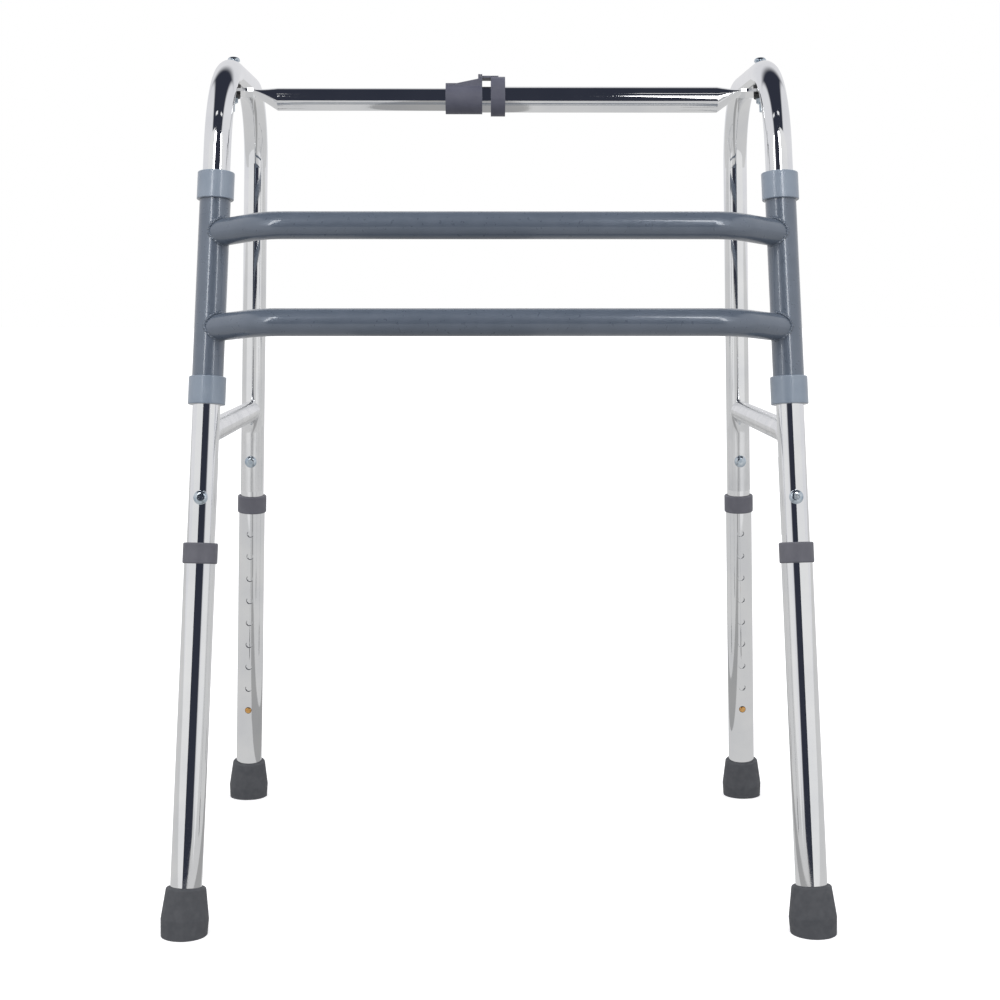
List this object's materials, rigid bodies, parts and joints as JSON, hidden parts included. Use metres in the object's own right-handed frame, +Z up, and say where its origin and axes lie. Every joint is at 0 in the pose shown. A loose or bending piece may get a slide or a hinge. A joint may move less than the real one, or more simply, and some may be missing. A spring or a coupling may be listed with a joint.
{
  "type": "folding walking frame",
  "caption": "Folding walking frame with telescoping legs, hinged side frames, a bowed front frame and a locking crossbar.",
  "frame": {"origin": "on the floor, under the centre of the bounding box of the standing frame", "axes": "+Z up, -Y towards the front H-frame, +X to the right as seen from the front looking back along +Y"},
  "size_m": [0.608, 0.5137, 0.8077],
  "materials": {
    "chrome_tube": "bright plated",
    "brace_metal": "satin plated",
    "zinc_fastener": "bright zinc",
    "dark_washer": "matt",
    "grey_paint": "hammered gloss powder coat",
    "bushing_plastic": "satin",
    "collar_plastic": "satin",
    "foot_rubber": "matt moulded",
    "spring_steel": "blued",
    "button_brass": "plain",
    "lock_plastic": "satin"
  },
  "bodies": {
    "front_frame": {"left_sleeve": "grey_paint", "right_sleeve": "grey_paint", "upper_rail": "grey_paint", "lower_rail": "grey_paint", "left_upper_bushing": "bushing_plastic", "left_lower_bushing": "bushing_plastic", "right_upper_bushing": "bushing_plastic", "right_lower_bushing": "bushing_plastic"},
    "left_side": {"left_side_tube": "chrome_tube", "left_brace": "brace_metal", "left_brace_bolts": "zinc_fastener", "left_brace_nuts": "zinc_fastener", "left_crossbar_bolt": "zinc_fastener", "left_pivot_spacer": "dark_washer", "left_pivot_washer": "dark_washer", "left_pivot_nut": "zinc_fastener", "front_left_button_spring": "spring_steel", "rear_left_button_spring": "spring_steel"},
    "right_side": {"right_side_tube": "chrome_tube", "right_brace": "brace_metal", "right_brace_bolts": "zinc_fastener", "right_brace_nuts": "zinc_fastener", "right_crossbar_bolt": "zinc_fastener", "right_pivot_spacer": "dark_washer", "right_pivot_washer": "dark_washer", "right_pivot_nut": "zinc_fastener", "front_right_button_spring": "spring_steel", "rear_right_button_spring": "spring_steel"},
    "crossbar_inner": {"crossbar_inner_tube": "chrome_tube"},
    "crossbar_outer": {"crossbar_outer_tube": "chrome_tube", "lock_sleeve": "lock_plastic", "lever_pin": "spring_steel"},
    "lock_lever": {"lock_lever": "lock_plastic"},
    "lock_pin": {"lock_pin": "spring_steel"},
    "front_left_leg": {"front_left_leg_tube": "chrome_tube", "front_left_collar": "collar_plastic", "front_left_foot": "foot_rubber"},
    "front_left_button": {"front_left_button": "button_brass"},
    "front_right_leg": {"front_right_leg_tube": "chrome_tube", "front_right_collar": "collar_plastic", "front_right_foot": "foot_rubber"},
    "front_right_button": {"front_right_button": "button_brass"},
    "rear_left_leg": {"rear_left_leg_tube": "chrome_tube", "rear_left_collar": "collar_plastic", "rear_left_foot": "foot_rubber"},
    "rear_left_button": {"rear_left_button": "button_brass"},
    "rear_right_leg": {"rear_right_leg_tube": "chrome_tube", "rear_right_collar": "collar_plastic", "rear_right_foot": "foot_rubber"},
    "rear_right_button": {"rear_right_button": "button_brass"}
  },
  "joints": [
    {"name": "left_fold", "type": "hinge", "parent": "front_frame", "child": "left_side", "pos_m": [-0.26662, -0.14938, 0.57934], "axis": [-0.0276, -0.1478, -0.9886], "range_deg": [0, 31]},
    {"name": "right_fold", "type": "hinge", "parent": "front_frame", "child": "right_side", "pos_m": [0.26662, -0.14938, 0.57934], "axis": [-0.0276, 0.1478, 0.9886], "range_deg": [0, 31]},
    {"name": "crossbar_left_pivot", "type": "hinge", "parent": "left_side", "child": "crossbar_inner", "pos_m": [-0.26123, -0.0327, 0.7721], "axis": [0.0276, 0.1478, 0.9886], "range_deg": [0, 31]},
    {"name": "crossbar_right_pivot", "type": "hinge", "parent": "right_side", "child": "crossbar_outer", "pos_m": [0.26123, -0.0327, 0.7721], "axis": [0.0276, -0.1478, -0.9886], "range_deg": [0, 31]},
    {"name": "lock_lever_press", "type": "hinge", "parent": "crossbar_outer", "child": "lock_lever", "pos_m": [-0.017, -0.0305, 0.78684], "axis": [0, 0.989, -0.1478], "range_deg": [0, 9], "stiffness_Nm_per_rad": 0.3, "springref_deg": -2.86},
    {"name": "lock_pin_slide", "type": "slide", "parent": "crossbar_outer", "child": "lock_pin", "axis": [0, 0.1478, 0.989], "range_m": [-0.0042, 0]},
    {"name": "front_left_height", "type": "slide", "parent": "left_side", "child": "front_left_leg", "axis": [-0.0276, -0.1478, -0.9886], "range_m": [0, 0.1524]},
    {"name": "front_left_button_press", "type": "slide", "parent": "left_side", "child": "front_left_button", "axis": [0.0041, -0.989, 0.1478], "range_m": [0, 0.0045], "stiffness_N_per_m": 400, "springref_m": -0.003, "deforming": ["front_left_button_spring"]},
    {"name": "front_right_height", "type": "slide", "parent": "right_side", "child": "front_right_leg", "axis": [0.0276, -0.1478, -0.9886], "range_m": [0, 0.1524]},
    {"name": "front_right_button_press", "type": "slide", "parent": "right_side", "child": "front_right_button", "axis": [-0.0041, -0.989, 0.1478], "range_m": [0, 0.0045], "stiffness_N_per_m": 400, "springref_m": -0.003, "deforming": ["front_right_button_spring"]},
    {"name": "rear_left_height", "type": "slide", "parent": "left_side", "child": "rear_left_leg", "axis": [-0.0278, 0.0872, -0.9958], "range_m": [0, 0.1524]},
    {"name": "rear_left_button_press", "type": "slide", "parent": "left_side", "child": "rear_left_button", "axis": [0.0024, 0.9962, 0.0871], "range_m": [0, 0.0045], "stiffness_N_per_m": 400, "springref_m": -0.003, "deforming": ["rear_left_button_spring"]},
    {"name": "rear_right_height", "type": "slide", "parent": "right_side", "child": "rear_right_leg", "axis": [0.0278, 0.0872, -0.9958], "range_m": [0, 0.1524]},
    {"name": "rear_right_button_press", "type": "slide", "parent": "right_side", "child": "rear_right_button", "axis": [-0.0024, 0.9962, 0.0871], "range_m": [0, 0.0045], "stiffness_N_per_m": 400, "springref_m": -0.003, "deforming": ["rear_right_button_spring"]}
  ],
  "couplings": [
    {"joint": "right_fold", "follows": "left_fold", "ratio": 1},
    {"joint": "crossbar_left_pivot", "follows": "left_fold", "ratio": 1},
    {"joint": "crossbar_right_pivot", "follows": "left_fold", "ratio": 1}
  ]
}
